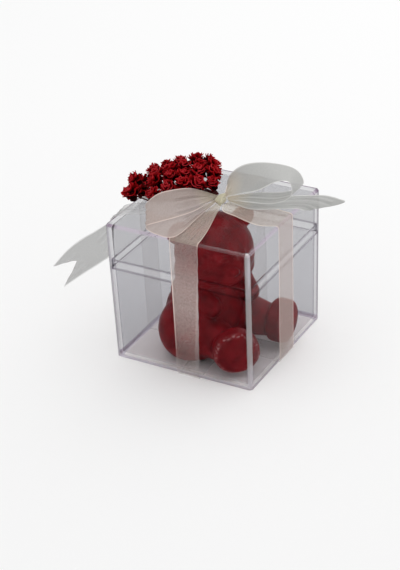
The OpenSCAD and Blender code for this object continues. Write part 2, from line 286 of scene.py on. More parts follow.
# Each band is full up to its first number and gone from its second
# The corner and beside bands place painted shade in the plastic's tint
CORNER_BAND = (1.0875, 1.45)  # of the corners and of the foot's edge
LINE_BAND = (0.66, 1.1)  # of the painted line along the lid's top edges
BESIDE_BAND = (2.0, 2.3)  # where the walls meet behind a corner
RIM_LOW, RIM_HIGH = 33.3, 36.3  # of the lid's skirt and of the base's lip
RIM_BAND = (0.11, 0.22)
FLOOR_BAND = (1.85, 1.95)  # up to the top of the base's floor
FOOT_BAND = (1.8, 2.1)
FRONT_FOOT_BAND = (2.1, 2.6)
FRONT_CORNER = (34.0, 40.0)  # from where to where the front corner's own painted shade and stronger coat set in, forward and right
BACK_WALL = (20.0, 23.0)
LEFT_WALL = (-23.0, -20.0)
SOFT_STEP = 0.05  # half of the step at the lap's ends
FULL_TO_NONE = (1.0, 0.0)


def make_edges_group():
    """Masks of the plastic, most of which place painted shade and light: thick corners, the lid's top edges,
    rims, skirt over lip, and floor.
    """
    labels = ["Corner", "Front", "Beside", "Line", "Behind", "Rim", "Lap", "Floor"]
    group, start, end = new_group("edge_and_shade_masks", {"Vector": None}, labels)
    in_mm = add_node(group, "ShaderNodeVectorMath", {"operation": "SCALE"}, _0=start.outputs["Vector"])
    in_mm.inputs["Scale"].default_value = 1 / MM
    right, deep, height = add_node(group, "ShaderNodeSeparateXYZ", Vector=in_mm.outputs[0]).outputs[:3]
    fall = product(group, difference(group, BOX_TOP, height), DRAFT / (BOX_TOP - LIFT))
    half = difference(group, BOX_HALF_TOP, fall)
    near, thin, wide = [], [], []
    for way in (right, deep):
        inwards = difference(group, half, math_node(group, "ABSOLUTE", way))
        near.append(remap(group, inwards, *CORNER_BAND, *FULL_TO_NONE))
        thin.append(remap(group, inwards, *LINE_BAND, *FULL_TO_NONE))
        wide.append(remap(group, inwards, *BESIDE_BAND, *FULL_TO_NONE))
    by_a_wall = larger(group, *near)
    foot = remap(group, height, *FOOT_BAND, *FULL_TO_NONE)
    low = remap(group, height, *FRONT_FOOT_BAND, *FULL_TO_NONE)
    at_top = remap(group, difference(group, BOX_TOP, height), *LINE_BAND, *FULL_TO_NONE)
    from_left = remap(group, right, *LEFT_WALL, *FULL_TO_NONE)
    off = [math_node(group, "ABSOLUTE", difference(group, height, rim)) for rim in (RIM_LOW, RIM_HIGH)]
    above = remap(group, height, RIM_LOW - SOFT_STEP, RIM_LOW + SOFT_STEP)
    below = remap(group, height, RIM_HIGH - SOFT_STEP, RIM_HIGH + SOFT_STEP, *FULL_TO_NONE)
    floor = remap(group, height, *FLOOR_BAND, *FULL_TO_NONE)
    masks = (
        larger(group, product(group, *near), product(group, foot, by_a_wall)),
        larger(group, remap(group, difference(group, right, deep), *FRONT_CORNER), low),
        product(group, *wide),
        product(group, larger(group, *thin), at_top),
        larger(group, remap(group, deep, *BACK_WALL), from_left),
        remap(group, smaller(group, *off), *RIM_BAND, *FULL_TO_NONE),
        product(group, above, below),
        product(group, floor, difference(group, 1.0, by_a_wall)))
    for label, mask in zip(labels, masks):
        group.links.new(mask, end.inputs[label])
    return group


EDGES = make_edges_group()
PLASTIC_TINT = (0.725, 0.725, 0.745)
LID_TINT = (0.735, 0.735, 0.748)
# Painted shade: darker tints at the corners, with the front corner's its own, and beside them
CORNER_SHADE_TINT = (0.3, 0.25, 0.34)
SIDE_CORNER_SHADE_TINT = (0.3, 0.28, 0.32)
BESIDE_SHADE_TINT = (0.56, 0.55, 0.58)
# Painted lines along the lid's top edges: violet at the front, and dark as painted shade at the back and
# left and at the rims
PAINTED_LINE_TINT = (0.75, 0.6, 0.76)
BACK_LINE_SHADE_TINT = (0.17, 0.11, 0.18)
# Painted light: the base's floor is tinted lighter and pinker than the walls, for the shaded floor inside
# and the bear's red reflection on it
FLOOR_LIT_TINT = (0.9, 0.86, 0.86)
FRONT_GLEAM = 0.76
SIDE_GLEAM = 0.3  # of the three corners that don't face forward and right
LINE_GLEAM = 0.16
RIM_SHARE = 0.42  # how far the rims take the painted dark line's tint
PLASTIC_IOR = 1.07  # low, so that the walls' ends stay clear and the walls add no haze
PLASTIC_PASSES = 0.92  # share of the lamps' light that comes through a wall


def make_clear_plastic(name, tint):
    """Moulded clear plastic: glass that lets the lamps' light through, with faint ripples and dust, with
    shade painted into its tint at the corners, along the lid's top edges and at the rims, and light painted
    into its floor.
    """
    material, tree, shader = new_material(name)
    where = object_coords(tree)
    mottle = place_group(tree, MOTTLE, Vector=where, Size=55.0, Contrast=1.3)[0]
    dust = place_group(tree, DUST, Vector=where, Spread=0.42)[0]
    corner, front, beside, line, behind, rim, lap, floor = place_group(tree, EDGES, Vector=where)
    rough = total(tree, remap(tree, mottle, 0.3, 0.7, 0.0, 0.03), product(tree, dust, 0.07))
    tree.links.new(larger(tree, rough, product(tree, corner, 0.3)), shader.inputs["Roughness"])
    front_line = product(tree, line, difference(tree, 1.0, behind))
    bright = product(tree, corner, remap(tree, front, 0.0, 1.0, SIDE_GLEAM, FRONT_GLEAM))
    tree.links.new(larger(tree, bright, product(tree, front_line, LINE_GLEAM)), shader.inputs["Coat Weight"])
    walls = blend_colors(tree, mottle, rgba(*tint), scaled_color(tint, 0.94))
    walls = blend_colors(tree, lap, walls, rgba(*[part ** 0.3 for part in tint]))
    # Painted light and reflection on the base's floor
    walls = blend_colors(tree, floor, walls, rgba(*FLOOR_LIT_TINT))
    # Painted shade beside the corners and at them, with the front corner's its own
    walls = blend_colors(tree, beside, walls, rgba(*BESIDE_SHADE_TINT))
    thick = blend_colors(tree, front, rgba(*SIDE_CORNER_SHADE_TINT), rgba(*CORNER_SHADE_TINT))
    walls = blend_colors(tree, corner, walls, thick)
    # Painted lines along the lid's top edges, and painted dark lines at the rims
    edge = blend_colors(tree, behind, rgba(*PAINTED_LINE_TINT), rgba(*BACK_LINE_SHADE_TINT))
    walls = blend_colors(tree, line, walls, edge)
    walls = blend_colors(tree, product(tree, rim, RIM_SHARE), walls, rgba(*BACK_LINE_SHADE_TINT))
    tree.links.new(walls, shader.inputs["Base Color"])
    tree.links.new(light_stopped(tree, PLASTIC_PASSES), shader.inputs["Alpha"])
    shader.inputs["Transmission Weight"].default_value = 1.0
    shader.inputs["IOR"].default_value = PLASTIC_IOR
    shader.inputs["Coat Roughness"].default_value = 0.06
    shader.inputs["Coat IOR"].default_value = 4.0
    add_relief(tree, shader, noise(tree, where, 38.0, 1.0), 0.05, 0.002)
    return material


# Organza

CLOTH_PASSES = 0.75  # share of the lamps' light that comes through a stretch of gauze
INNER_THINNER = 0.68  # how much less covers where a wall's ribbon is seen from inside
# Cream near the knot: the colour of the gathered layers, made lighter as painted light against the pleats'
# shade
CREAM = (0.62, 0.545, 0.425)
KNOT_AT = Vector((2, 2.2, 50.7))
KNOT_NEAR, KNOT_FAR = 2.5 * MM, 10.5 * MM


def near_knot(tree):
    """1 at the knot and 0 from a centimetre away."""
    apart = add_node(tree, "ShaderNodeVectorMath", {"operation": "DISTANCE"}, _0=object_coords(tree))
    apart.inputs[1].default_value = KNOT_AT * MM
    return remap(tree, apart.outputs["Value"], KNOT_NEAR, KNOT_FAR, *FULL_TO_NONE)


def drawn_cover(tree, covers, drawn):
    """Cover of the cloth made less where it is drawn tight."""
    along = cloth_place(tree)[2]
    for (start, share), (stop, next_share) in zip(drawn, drawn[1:]):
        if share != next_share:
            most = max(share, next_share)
            kept = remap(tree, along, start, stop, share / most, next_share / most)
            covers = product(tree, covers, kept)
    return covers


def make_organza(name, thin, thick, colour, width=RIBBON_W, inner=1.0, drawn=()):
    """Sheer ribbon: covers most at its threads and its woven edge; inner brightens its lit-through back as
    painted light, and near the knot its colour goes to a cream that is partly painted light.

    Where it is drawn tight less cloth covers: drawn lists places along it, in mm, with the share there.
    """
    material, tree, shader = new_material(name)
    cover, relief, edge = place_group(tree, GAUZE, Width=width)
    back = tree.nodes.new("ShaderNodeNewGeometry").outputs["Backfacing"]
    face = blend_colors(tree, back, rgba(*colour), scaled_color(colour, inner))
    # Partly painted light: the lighter cream near the knot
    face = blend_colors(tree, near_knot(tree), face, rgba(*CREAM))
    tree.links.new(blend_colors(tree, edge, face, scaled_color(colour, 1.6)), shader.inputs["Base Color"])
    less = product(tree, back, INNER_THINNER if inner > 1 else 0.0)
    covers = product(tree, remap(tree, cover, 0.0, 1.0, thin, thick), difference(tree, 1.0, less))
    if drawn:
        covers = drawn_cover(tree, covers, drawn)
    tree.links.new(product(tree, covers, light_stopped(tree, CLOTH_PASSES)), shader.inputs["Alpha"])
    shader.inputs["Roughness"].default_value = 0.55
    shader.inputs["Sheen Weight"].default_value = 0.5
    shader.inputs["Sheen Roughness"].default_value = 0.35
    shader.inputs["Specular IOR Level"].default_value = 0.3
    add_relief(tree, shader, relief, 0.35, 0.00006)
    return material


# Wax and petals

WAX_DEEP = (0.085, 0.0015, 0.0035)
WAX_BRIGHT = (0.29, 0.011, 0.017)
WAX_RUBBED = (0.5, 0.24, 0.24)


def make_red_wax():
    """Deep red cast wax with paler rubbed and dusty places."""
    material, tree, shader = new_material("red_wax")
    where = object_coords(tree)
    mottle = place_group(tree, MOTTLE, Vector=where, Size=250.0, Contrast=2.5)[0]
    dust = place_group(tree, DUST, Vector=where, Spread=0.62)[0]
    crumbs = remap(tree, noise(tree, where, 1300.0, 2.0), 0.5, 0.58)
    worn = product(tree, vertex_value(tree, "rub"), crumbs)
    pale = larger(tree, product(tree, dust, 0.35), product(tree, worn, 0.9))
    red = blend_colors(tree, mottle, rgba(*WAX_DEEP), rgba(*WAX_BRIGHT))
    tree.links.new(blend_colors(tree, pale, red, rgba(*WAX_RUBBED)), shader.inputs["Base Color"])
    rough = total(tree, remap(tree, mottle, 0.2, 0.8, 0.3, 0.46), product(tree, dust, 0.3))
    tree.links.new(rough, shader.inputs["Roughness"])
    shader.inputs["Specular IOR Level"].default_value = 0.1
    shader.inputs["Subsurface Weight"].default_value = 0.12
    shader.inputs["Subsurface Radius"].default_value = (0.002, 0.0005, 0.0004)
    grain = noise(tree, where, 900.0, 4.0)
    add_relief(tree, shader, total(tree, product(tree, grain, 0.35), mottle), 0.3, 0.0004)
    return material


def make_petal(name, deep, bright, rim):
    """Dyed dried petal: dark at its root and towards the back of its head as painted shade, bright over its
    face and paler along its dry rim.
    """
    material, tree, shader = new_material(name)
    where = object_coords(tree)
    mottle = place_group(tree, MOTTLE, Vector=where, Size=420.0, Contrast=2.2)[0]
    reach = total(tree, vertex_value(tree, "reach"), remap(tree, mottle, 0.0, 1.0, -0.25, 0.2))
    # Painted shade: the dark colour at the root and towards the back of the head
    face = blend_colors(tree, remap(tree, reach, 0.1, 0.85), rgba(*deep), rgba(*bright))
    dry = remap(tree, reach, 0.86, 1.06, 0.0, 0.6)
    tree.links.new(blend_colors(tree, dry, face, rgba(*rim)), shader.inputs["Base Color"])
    tree.links.new(remap(tree, mottle, 0.2, 0.8, 0.5, 0.75), shader.inputs["Roughness"])
    shader.inputs["Specular IOR Level"].default_value = 0.03
    add_relief(tree, shader, noise(tree, where, 3200.0, 3.0), 0.4, 0.0001)
    return material


# Piece helpers

def finish_piece(name, bm, material, body, stands_for):
    """Smooth-shaded piece from a bmesh in millimetres, in place of the nodes that it stands for."""
    bmesh.ops.scale(bm, vec=(MM, MM, MM), verts=bm.verts)
    mesh = bpy.data.meshes.new(name)
    bm.to_mesh(mesh)
    bm.free()
    piece = bpy.data.objects.new(name, mesh)
    bpy.context.scene.collection.objects.link(piece)
    mesh.polygons.foreach_set("use_smooth", [True] * len(mesh.polygons))
    mesh.materials.append(material)
    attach(piece, body)
    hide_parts(*stands_for)
    return piece


def turned_to(degrees, axis):
    """Turn about an axis."""
    return Matrix.Rotation(math.radians(degrees), 4, axis)


def add_ball(bm, at, radii, frame_turn=None):
    """Ellipsoid added to a bmesh; its new vertices are returned."""
    turn = frame_turn or Matrix.Identity(4)
    size = Matrix.Diagonal((*radii, 1.0))
    made = bmesh.ops.create_uvsphere(bm, u_segments=36, v_segments=24, radius=1.0,
                                     matrix=turn @ Matrix.Translation(at) @ size)
    return made["verts"]


def wrap(bm, verts):
    """Stretches one skin over the vertices and drops what it covers."""
    made = bmesh.ops.convex_hull(bm, input=verts, use_existing_faces=False)
    spare = {g for g in made["geom_interior"] + made["geom_unused"] if isinstance(g, bmesh.types.BMVert)}
    bmesh.ops.delete(bm, geom=[v for v in spare if v.is_valid], context="VERTS")


def join(bm, other):
    """Adds another bmesh's shapes and frees it."""
    carried = bpy.data.meshes.new("carried")
    other.to_mesh(carried)
    other.free()
    bm.from_mesh(carried)
    bpy.data.meshes.remove(carried)


def add_limb(bm, start, start_r, end, end_r):
    """Skin round two balls."""
    limb = bmesh.new()
    verts = add_ball(limb, start, (start_r,) * 3) + add_ball(limb, end, (end_r,) * 3)
    wrap(limb, verts)
    join(bm, limb)


def one_skin(bm, voxel):
    """Merges overlapping closed shapes into one even skin; the vertices stay in millimetres."""
    mesh = bpy.data.meshes.new("loose_shapes")
    bm.to_mesh(mesh)
    bm.free()
    shape = bpy.data.objects.new("loose_shapes", mesh)
    bpy.context.scene.collection.objects.link(shape)
    skin = shape.modifiers.new("skin", "REMESH")
    skin.mode = "VOXEL"
    skin.voxel_size = voxel
    evaluated = shape.evaluated_get(bpy.context.evaluated_depsgraph_get())
    merged = bmesh.new()
    merged.from_mesh(evaluated.to_mesh())
    evaluated.to_mesh_clear()
    bpy.data.objects.remove(shape)
    bpy.data.meshes.remove(mesh)
    return merged


def settle(bm, times):
    """Evens out a skin by so many rounds of smoothing."""
    for _ in range(times):
        bmesh.ops.smooth_vert(bm, verts=bm.verts, factor=0.5,
                              use_axis_x=True, use_axis_y=True, use_axis_z=True)


def on_curve(points, u):
    """Point on the smooth curve through the points, with u from 0 to 1."""
    last = len(points) - 1
    s = min(max(u, 0.0), 0.99999) * last
    i = int(s)
    f = s - i
    a, b, c, d = (Vector(points[k]) for k in (max(i - 1, 0), i, i + 1, min(i + 2, last)))
    square = 2 * a - 5 * b + 4 * c - d
    cube = 3 * b - 3 * c + d - a
    return 0.5 * (2 * b + (c - a) * f + square * f * f + cube * f * f * f)


def cloth_grid(place, rows, columns, width, length):
    """Grid of cloth whose vertices go to place(u, s), with a UV map called cloth in millimetres."""
    bm = bmesh.new()
    cloth = bm.loops.layers.uv.new("cloth")
    bmesh.ops.create_grid(bm, x_segments=columns, y_segments=rows, size=0.5)
    for face in bm.faces:
        for loop in face.loops:
            s, u = loop.vert.co.x + 0.5, loop.vert.co.y + 0.5
            loop[cloth].uv = (s * width, u * length)
    for vert in bm.verts:
        vert.co = place(vert.co.y + 0.5, vert.co.x + 0.5)
    return bm


# Box and lid keep their own solids and get the clear plastic

for node, tint in (("box_base", PLASTIC_TINT), ("lid", LID_TINT)):
    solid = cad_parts[node]
    solid.data.materials.clear()
    solid.data.materials.append(make_clear_plastic(node + "_plastic", tint))


# Ribbon

ON_LID = BOX_TOP + 0.15
FRONT_SHIFT = 3.0  # of the front stretch, to the right of the wall's middle
FRONT_TAPER = 1.9  # how far its right edge is folded over at its foot
BEND = 0.8  # radius of the ribbon's bend over the lid's edge
PLEATS = 4
CROSS_PLEATS = 6.3  # of the weaker pleats that break up the even ones
CROSS_SHARE = 0.5
MOST_PLEAT = 0.17  # deepest that a pleat gets
FLAT_FROM = 0.985  # share of the ribbon's width from which it lies flat
RIPPLES_ALONG, RIPPLES_ACROSS = 1.3, 0.35  # soft waves over a stretch and over its width
SLANT_BEND = 1.3  # how a slanted end curves
TIP_SHARE = 0.1  # of the width, at which the tip of a slanted end is rounded off
TIP_CUT = 0.09  # how much of the tip is taken off, as a share of the slant
NEARBY = 0.01  # step along a stretch by which its direction is found
# Rows along a stretch and columns across it
WALL_GRID = (40, 40)
UNDER_GRID = (66, 10)
TOP_GRID = (56, 36)
BOW_GRID = (90, 40)
SHORT_TAIL_GRID = (70, 40)
# Share of the cloth that covers along a stretch: place in mm from the start of its length, share
TAIL_DRAWN = ((24, 0.42), (33, 1.0))
FRONT_DRAWN = ((8, 0.3), (25, 1.0), (33, 1.0), (44, 0.6))

# One cloth in copies whose colour is painted for the light each stretch is under, and whose cover differs
# over other things: least and most cover, colour
ORGANZA = make_organza("organza", 0.75, 0.96, (0.4, 0.4, 0.385))
ORGANZA_WARM_LIT = make_organza("organza_warm_lit", 0.66, 0.93, (0.42, 0.34, 0.31))
ORGANZA_TAIL = make_organza("organza_tail", 0.75, 0.96, (0.5, 0.5, 0.495), drawn=TAIL_DRAWN)
ORGANZA_TOP = make_organza("organza_top", 0.3, 0.8, (0.48, 0.405, 0.35))
# The stretches on the walls are painted reddish for the bear's red light through them, and brighter on their
# back for the light through it
ORGANZA_FRONT = make_organza("organza_front", 0.28, 0.88, (0.55, 0.45, 0.42), inner=2.5, drawn=FRONT_DRAWN)
ORGANZA_WALL = make_organza("organza_wall", 0.24, 0.7, (0.52, 0.41, 0.37), inner=2.5)
# Under the box the cloth is painted pale, as painted light against the shade there
ORGANZA_UNDER = make_organza("organza_under", 0.08, 0.3, (0.85, 0.83, 0.8))
ORGANZA_KNOT = make_organza("organza_knot", 0.85, 1.0, (0.35, 0.325, 0.235), width=100.0)


def half_box(z):
    """Half of the box's width at a height."""
    return BOX_HALF_TOP - DRAFT * (BOX_TOP - z) / (BOX_TOP - LIFT)


def pleat_depth(width):
    """How deep the pleats are where the cloth is gathered to a width, so that it keeps its own."""
    if width >= RIBBON_W * FLAT_FROM:
        return 0.0
    short = max((RIBBON_W / max(width, 1.0)) ** 2 - 1, 0.0)
    return min(width / (TURN * PLEATS) * math.sqrt(2 * short), MOST_PLEAT)


def cut_end(u, s, notch, slant):
    """Place along a stretch once its end has a notch or a slant cut into it."""
    tip = max(s - 1 + TIP_SHARE, 0) / TIP_SHARE
    notched = notch * (1 - abs(2 * s - 1))
    slanted = slant * ((1 - s) ** SLANT_BEND + TIP_CUT * tip * tip)
    return u * (1 - notched - slanted)


def stretch_place(edge_a, edge_b, notch=0.0, slant=0.0, ripple=0.0, phase=0.0):
    """Place function of a stretch of ribbon between its two edges, with a notched or slanted end."""
    def place(u, s):
        u = cut_end(u, s, notch, slant)
        a, b = on_curve(edge_a, u), on_curve(edge_b, u)
        ahead = on_curve(edge_a, u + NEARBY) + on_curve(edge_b, u + NEARBY)
        behind = on_curve(edge_a, u - NEARBY) + on_curve(edge_b, u - NEARBY)
        out = (ahead - behind).cross(b - a).normalized()
        wave = math.sin(TURN * PLEATS * s + phase)
        wave += CROSS_SHARE * math.sin(TURN * CROSS_PLEATS * s + 3 * phase + 1.2 * u)
        lift = pleat_depth((b - a).length) * wave
        rippled = math.sin(TURN * (RIPPLES_ALONG * u + RIPPLES_ACROSS * s) + phase)
        soft = ripple * rippled * math.sin(math.pi * s)
        return a + (b - a) * s + out * (lift + soft)
    return place


def run_length(edge_a, edge_b, steps=60):
    """Length of the middle line between two edges."""
    points = [(on_curve(edge_a, i / steps) + on_curve(edge_b, i / steps)) / 2 for i in range(steps + 1)]
    return sum((q - p).length for p, q in zip(points, points[1:]))


def ribbon_piece(name, node, body, place, length, grid, material):
    """Stretch of ribbon that stands for one node, with its flat size said."""
    bm = cloth_grid(place, *grid, RIBBON_W, length)
    piece = finish_piece(name, bm, material, body, (node,))


def turned_quarters(point, quarters):
    """Point turned about the upright axis by quarter turns, anticlockwise from the front."""
    return Matrix.Rotation(quarters * math.pi / 2, 3, "Z") @ Vector(point)


FOOT_Z = 0.35  # where an upright stretch turns in under the box
OFF_WALL = 0.12
FOOT_LEAN = 0.7  # how far a stretch turns in for each mm below the box's foot
FOLD_OVER = 0.18  # how far a folded strip stands off the cloth under it
UNDER_Z = 0.1
UNDER_SIDE = 0.4  # by how much a stretch under the box is narrower than the ribbon
HUMP_RUN = 1.5  # over which the upper stretch rises to pass over the lower one
HUMP_SPARE = 0.5  # by which the hump is wider than the ribbon under it, on each side


def wall_stretch(side, quarters, shift=0.0, taper=0.0, material=ORGANZA_WALL):
    """Upright stretch on one wall, from its foot to the bend over the lid's edge."""
    top = ON_LID - BEND

    def place(u, s):
        z = FOOT_Z + u * (top - FOOT_Z)
        x = shift + (s - 0.5) * RIBBON_W
        off = OFF_WALL - FOOT_LEAN * max(LIFT - z, 0)
        fold = shift + RIBBON_W / 2 - taper * (1 - u)
        if x > fold:
            x = fold - (x - fold)
            off += FOLD_OVER
        return turned_quarters((x, -half_box(z) - off, z), quarters)

    ribbon_piece("organza_" + side, "ribbon_" + side, "strand_" + side, place, top,
                 WALL_GRID, material)


wall_stretch("front", 0, FRONT_SHIFT, FRONT_TAPER, ORGANZA_FRONT)
wall_stretch("right", 1)
wall_stretch("back", 2)
wall_stretch("left", 3)


def under_stretch(name, node, quarters, hump, shift=0.0, taper=0.0):
    """Stretch that crosses under the box; the upper one humps over the lower and runs askew."""
    half = half_box(0)
    step = RIBBON_W / 2 + HUMP_SPARE

    def place(u, s):
        x = (u - 0.5) * 2 * half
        over = hump * min(max((step + HUMP_RUN - abs(x)) / HUMP_RUN, 0.0), 1.0)
        aside = (shift + taper / 2) * (1 - u)
        wide = RIBBON_W - UNDER_SIDE - taper * (1 - u)
        return turned_quarters((x, aside + (s - 0.5) * wide, UNDER_Z + over), quarters)

    ribbon_piece(name, node, "base", place, 2 * half, UNDER_GRID, ORGANZA_UNDER)


under_stretch("organza_under_lower", "ribbon_under_lower", 0, 0.0)
under_stretch("organza_under_upper", "ribbon_under_upper", 1, 0.25, -FRONT_SHIFT, FRONT_TAPER)

# Edges of the stretches on the lid, from the knot to the lid's edge
TOP_EDGES = {
    "front": ([(2.9, 0.4, 50.2), (4.8, -8, 49.8), (6.9, -17, 49.4), (8, -24.2, 49.15)],
              [(1.2, 0.4, 50.2), (0.2, -8, 49.8), (-1.2, -17, 49.4), (-2, -24.2, 49.15)]),
    "right": ([(4.1, 3.2, 49.9), (6.8, 4.3, 49.75), (10.5, 4.9, 49.6),
               (15.5, 5.3, 49.45), (20, 5.3, 49.3), (24.2, 5, 49.15)],
              [(3.2, -0.2, 50), (5.3, -3.6, 49.75), (10, -4.9, 49.6),
               (15, -6.4, 49.45), (19.6, -7, 49.3), (24.2, -5, 49.15)]),
    "back": ([(0.9, 4.4, 50), (-0.8, 9, 49.7), (-3.8, 17, 49.35), (-5, 24.2, 49.15)],
             [(3, 4.4, 50), (3.8, 9, 49.7), (4.8, 17, 49.35), (5, 24.2, 49.15)]),
    "left": ([(0, 1.4, 49.9), (-7, -1.2, 49.6), (-16, -4.4, 49.3), (-24.2, -5, 49.15)],
             [(0, 3.2, 49.9), (-7, 4, 49.6), (-16, 4.9, 49.3), (-24.2, 5, 49.15)]),
}
OUTWARD = {"front": (0, -1, 0), "right": (1, 0, 0), "back": (0, 1, 0), "left": (-1, 0, 0)}
TOP_RIPPLE = 0.12


def top_stretch(side):
    """Stretch on the lid that is gathered into the knot and bends down over the lid's edge."""
    edge_a, edge_b = TOP_EDGES[side]
    outward = Vector(OUTWARD[side])
    flat_run = run_length(edge_a, edge_b)
    bend_run = BEND * math.pi / 2
    length = flat_run + bend_run
    lying = stretch_place(edge_a, edge_b, ripple=TOP_RIPPLE)

    def place(u, s):
        run = u * length
        if run <= flat_run:
            return lying(run / flat_run, s)
        angle = (run - flat_run) / BEND
        down = Vector((0, 0, BEND * (1 - math.cos(angle))))
        return lying(1.0, s) + outward * (BEND + OFF_WALL) * math.sin(angle) - down

    ribbon_piece("organza_top_" + side, "ribbon_top_" + side, "lid", place, length,
                 TOP_GRID, ORGANZA_TOP)


for side in TOP_EDGES:
    top_stretch(side)

# Edges of the bow's loops and tails, from the knot outwards
LOOP_LEFT = (
    [(0.2, 2.6, 51.2), (-5, -3.5, 55.5), (-9, -9.5, 57), (-12.5, -13.5, 56.5), (-14.5, -17, 54),
     (-11.5, -17.3, 51.7), (-5.7, -14.9, 51.2), (-1.8, -7.4, 51.1), (0.5, 0.2, 51.1)],
    [(0.2, 1.4, 51.2), (-1.1, -9.3, 51.4), (-4.1, -16, 51.5), (-7.7, -21.4, 51.5), (-10, -25, 51.2),
     (-6, -26.3, 50.2), (0.2, -25, 50), (0.8, -11.5, 50.4), (1.4, -0.1, 50.9)])
LOOP_RIGHT = (
    [(3.2, 0.7, 51.8), (9.4, -1, 55.2), (16.6, -1.6, 58.2), (23, -2, 62.5), (27.6, -2, 63.2),
     (27.6, -2, 58.2), (20.5, -1.4, 54.5), (11, 0.3, 52.6), (3.9, 1.6, 51.1)],
    [(2.9, 3.9, 52), (1.6, 7.4, 56), (6.5, 8, 60.8), (15, 8, 63.3), (24.5, 8, 63),
     (27.4, 8, 58.4), (21.5, 7.6, 54.8), (12, 6.2, 53.2), (3.8, 3.4, 51.4)])
TAIL_LEFT = (
    [(0.2, 2.5, 50.6), (-8, -1.5, 50.1), (-16.5, -6.3, 49.8), (-24.5, -10.9, 49.5), (-27.5, -11.2, 46.8),
     (-32.2, -11, 41.8), (-38, -11, 37.2), (-44.5, -11, 32.4), (-50.5, -11, 26.9), (-56.5, -11, 19.8)],
    [(0.4, 1.4, 50.5), (-7, -7.5, 50.1), (-15, -15, 49.8), (-24.1, -20.2, 49.5), (-26.7, -19.2, 46.2),
     (-28, -16.4, 39.8), (-31, -13, 31.4), (-37, -11, 25.6), (-45, -11, 19.2), (-53, -11, 12.5)])
TAIL_RIGHT = (
    [(3.9, 2.2, 50.3), (12, 0.5, 49.9), (19, 3.5, 49.8),
     (25.8, 7.5, 49.5), (28.8, 9.5, 46.8), (30.4, 12, 43.8)],
    [(3.8, 3.4, 50.5), (11, 7.8, 50.3), (18, 13, 50), (25, 17, 49.9), (31, 17.8, 50.6), (38, 17, 50.4)])
LEFT_NOTCH = 0.13
RIGHT_SLANT = 0.34
BOW_RIPPLE = 0.15


def bow_stretch(part, edges, held, grid=BOW_GRID, material=ORGANZA, **shape):
    """Loop or tail of the bow, from the knot outwards; shape is its notch, slant and phase."""
    place = stretch_place(*edges, ripple=BOW_RIPPLE, **shape)
    ribbon_piece("organza_" + part, "bow_" + part, "lid", place, run_length(*edges),
                 grid, material)


bow_stretch("loop_left", LOOP_LEFT, "gathered", material=ORGANZA_WARM_LIT)
bow_stretch("loop_right", LOOP_RIGHT, "gathered", phase=0.6)
bow_stretch("tail_left", TAIL_LEFT, "hung", material=ORGANZA_TAIL, notch=LEFT_NOTCH)
bow_stretch("tail_right", TAIL_RIGHT, "hung", grid=SHORT_TAIL_GRID, slant=RIGHT_SLANT, phase=0.4)

# Turns of the wrap: middle, radii, and how far each is turned about the upright axis and tipped
KNOT_TURNS = (((0, -0.5, 0), (1.1, 2.1, 1.1), 8, 0), ((0.2, -1.1, 0.2), (0.6, 2.4, 1.1), 20, 10),
              ((-0.3, -0.5, 0.3), (0.6, 2.2, 1.1), -14, -14), ((0.1, 0.1, 0.7), (0.8, 1.6, 0.6), 5, 8))
KNOT_VOXEL = 0.09
KNOT_SWELL = 1.18  # by which it makes up for what the smoothing took
KNOT_CREASE = 0.045  # depth of its creases, as a share of its radius


def make_knot():
    """Tight knot: crossing turns of gathered ribbon with fine creases drawn through it."""
    bm = bmesh.new()
    for at, radii, turned, tipped in KNOT_TURNS:
        turn = turned_to(turned, "Z") @ turned_to(tipped, "Y")
        add_ball(bm, (0, 0, 0), radii, Matrix.Translation(at) @ turn)
    knot = one_skin(bm, KNOT_VOXEL)
    settle(knot, 3)
    for vert in knot.verts:
        bearing = math.atan2(vert.co.y, vert.co.x)
        crease = math.sin(9 * vert.co.x - 4 * vert.co.y) + 0.6 * math.sin(11 * bearing + 3 * vert.co.z)
        vert.co = KNOT_AT + vert.co * (KNOT_SWELL + KNOT_CREASE * crease)
    bmesh.ops.recalc_face_normals(knot, faces=knot.faces)
    finish_piece("organza_knot", knot, ORGANZA_KNOT, "lid", ("bow_knot",))


make_knot()


# Bear

WAX_VOXEL = 0.42
FLOOR_Z = 1.82  # where the bear sits, just over the base's floor
FLOOR_GAP = 0.02  # by which the wax stays over that
BEAR_AT = Vector((-3.2, -1.6, FLOOR_Z))
BEAR_TURN = -20  # degrees from the box's +X side
# In the bear's own frame, whose +X is where it faces; a ball is its middle and its radii
BELLY = ((0, -0.5, 10.3), (12.6, 13.6, 11.8))
CHEST = ((1.2, 0, 18.5), (10.2, 11.2, 9.5))
RUMP = ((3, -8.9, 7.7), (11.2, 11.2, 11.2))
# Shoulder and paw, each with its radius
ARMS = (((1.5, -10.3, 22), 4.4, (11.2, -7.4, 17.9), 3.4),
        ((1.5, 10.3, 22), 4.4, (11.6, 7.8, 17.9), 3.4))
FOOT_R = 7.3
FOOT_DEPTH = 6.0
FOOT_SOFT = 1.4
ANKLE_R = 4.9
ANKLE_BACK, ANKLE_DOWN = 2.5, 1.0  # from the middle of the foot to that of the ankle
# Where each sole stands, and its bearing in degrees
NEAR_FOOT = (25.1, -9.8, -32)
FAR_FOOT = (22.1, 15.5, 20)
# Hip with its radius, and foot
LEGS = (((7, -8.6, 7.2), 7.4, NEAR_FOOT), ((4, 8.2, 7.2), 7.6, FAR_FOOT))
RIM_RUB = 0.9  # how far the rubbed wax reaches from the rim of a sole
RIM_BACK, RIM_IN = 0.5, 0.6  # of the rubbed rim, behind the sole and inside the foot's radius
